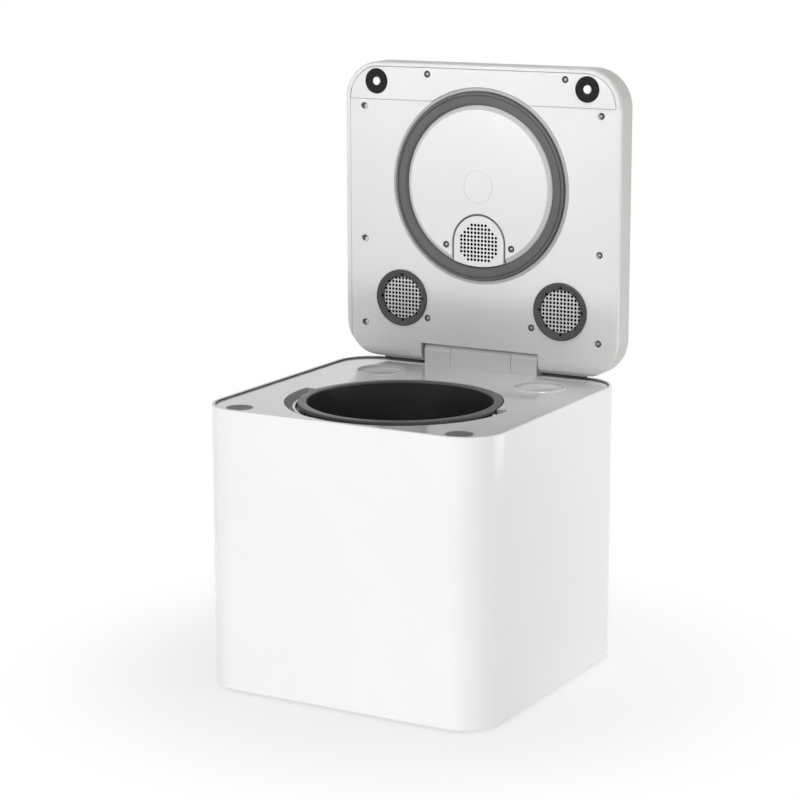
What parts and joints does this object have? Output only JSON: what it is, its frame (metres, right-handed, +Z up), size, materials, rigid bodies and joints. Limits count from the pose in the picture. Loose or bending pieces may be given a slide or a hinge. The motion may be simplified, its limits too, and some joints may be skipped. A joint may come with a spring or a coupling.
{
  "type": "electric food waste composter",
  "caption": "Countertop electric composter: square white body, hinged lid with gasket and air grilles, lift-out bucket with bail handle and geared agitator.",
  "frame": {"origin": "on the ground, under the middle of the square body (the middle of the whole width, and of the whole depth to within the stated tolerance)", "axes": "+Z up; +X to the right seen from the front; +Y from the front to the back, where the lid's hinge is"},
  "size_m": [0.3, 0.3019, 0.5702],
  "materials": {
    "white_gloss": "gloss white",
    "lid_grey": "satin warm grey",
    "panel_white": "satin white",
    "deck_grey": "gloss light grey",
    "seal_grey": "matt dark grey",
    "black_rubber": "matt black",
    "white_core": "gloss white",
    "steel": "brushed",
    "bright_steel": "polished",
    "catch_steel": "satin grey",
    "pot_coating": "dark non-stick coating",
    "aluminium": "drawn",
    "gear_white": "moulded",
    "black_plastic": "moulded",
    "grey_plastic": "moulded",
    "brass": "turned",
    "board_green": "solder mask",
    "cast": "blasted"
  },
  "bodies": {
    "housing": {"outer_sleeve": "white_gloss", "base_plate": "grey_plastic", "rubber_feet": "black_rubber", "top_deck": "deck_grey", "catch_discs": "catch_steel", "hinge_tower": "deck_grey", "left_hinge_knuckle": "deck_grey", "right_hinge_knuckle": "deck_grey", "hinge_dampers": "black_plastic", "hinge_pin": "bright_steel", "heating_chamber": "aluminium", "ring_heater": "cast", "temperature_sensor": "steel", "heat_shield": "steel", "chamber_posts": "steel", "gearbox_tray": "grey_plastic", "gearbox_cover": "grey_plastic", "drive_bearing": "brass", "gear_axles": "steel", "drive_motor": "steel", "filter_wells": "black_plastic", "exhaust_fan_frame": "black_plastic", "power_inlet": "black_plastic", "inlet_blades": "brass", "power_board": "board_green", "transformer": "cast", "board_parts": "black_plastic", "lid_sensor": "black_plastic", "base_screws": "steel"},
    "lid": {"lid_shell": "lid_grey", "lid_inner_panel": "panel_white", "front_strip_cover": "panel_white", "catch_rings": "black_rubber", "catch_cores": "white_core", "lid_gasket": "seal_grey", "baffle_disc": "panel_white", "fan_cover": "panel_white", "left_vent_grille": "panel_white", "right_vent_grille": "panel_white", "grille_seals": "seal_grey", "lid_screws": "steel", "lid_air_duct": "black_plastic", "blower_motor": "black_plastic", "control_board": "board_green"},
    "lid_blower": {"blower_impeller": "black_plastic"},
    "bucket": {"bucket": "pot_coating", "handle_pins": "steel", "shaft_bush": "brass"},
    "bail": {"bail_handle": "steel", "handle_grip": "black_plastic"},
    "agitator": {"agitator": "cast", "agitator_tongue": "steel"},
    "drive": {"drive_gear": "gear_white", "drive_shaft": "steel"},
    "first_gear": {"first_gear": "gear_white"},
    "second_gear": {"second_gear": "gear_white"},
    "motor_rotor": {"motor_pinion": "brass"},
    "exhaust_fan": {"exhaust_impeller": "black_plastic"},
    "left_filter": {"left_filter_canister": "deck_grey"},
    "right_filter": {"right_filter_canister": "deck_grey"}
  },
  "joints": [
    {"name": "lid_hinge", "type": "hinge", "parent": "housing", "child": "lid", "pos_m": [0, 0.1395, 0.28425], "axis": [-1, 0, 0], "range_deg": [-90, 0]},
    {"name": "bucket_lift", "type": "slide", "parent": "housing", "child": "bucket", "axis": [0, 0, 1], "range_m": [0, 0.2]},
    {"name": "bail_hinge", "type": "hinge", "parent": "bucket", "child": "bail", "pos_m": [0, -0.02925, 0.2623], "axis": [-1, 0, 0], "range_deg": [0, 90]},
    {"name": "agitator_spin", "type": "hinge", "parent": "bucket", "child": "agitator", "pos_m": [0, -0.02925, 0.1082], "axis": [0, 0, 1], "continuous": true},
    {"name": "drive_spin", "type": "hinge", "parent": "housing", "child": "drive", "pos_m": [0, -0.02925, 0.014], "axis": [0, 0, 1], "continuous": true},
    {"name": "first_gear_spin", "type": "hinge", "parent": "housing", "child": "first_gear", "pos_m": [0, 0.03075, 0.026], "axis": [0, 0, 1], "continuous": true},
    {"name": "second_gear_spin", "type": "hinge", "parent": "housing", "child": "second_gear", "pos_m": [0, 0.07575, 0.036], "axis": [0, 0, 1], "continuous": true},
    {"name": "motor_spin", "type": "hinge", "parent": "housing", "child": "motor_rotor", "pos_m": [0, 0.1095, 0.036], "axis": [0, 0, 1], "continuous": true},
    {"name": "lid_blower_spin", "type": "hinge", "parent": "lid", "child": "lid_blower", "pos_m": [0, 0.1449, 0.3969], "axis": [0, -1, 0], "continuous": true},
    {"name": "exhaust_fan_spin", "type": "hinge", "parent": "housing", "child": "exhaust_fan", "pos_m": [0, 0.137, 0.19], "axis": [0, 1, 0], "continuous": true},
    {"name": "left_filter_lift", "type": "slide", "parent": "housing", "child": "left_filter", "axis": [0, 0, 1], "range_m": [0, 0.16]},
    {"name": "right_filter_lift", "type": "slide", "parent": "housing", "child": "right_filter", "axis": [0, 0, 1], "range_m": [0, 0.16]}
  ],
  "couplings": [
    {"joint": "agitator_spin", "follows": "drive_spin", "ratio": 1},
    {"joint": "first_gear_spin", "follows": "drive_spin", "ratio": -4},
    {"joint": "second_gear_spin", "follows": "drive_spin", "ratio": 16},
    {"joint": "motor_spin", "follows": "drive_spin", "ratio": -56}
  ]
}
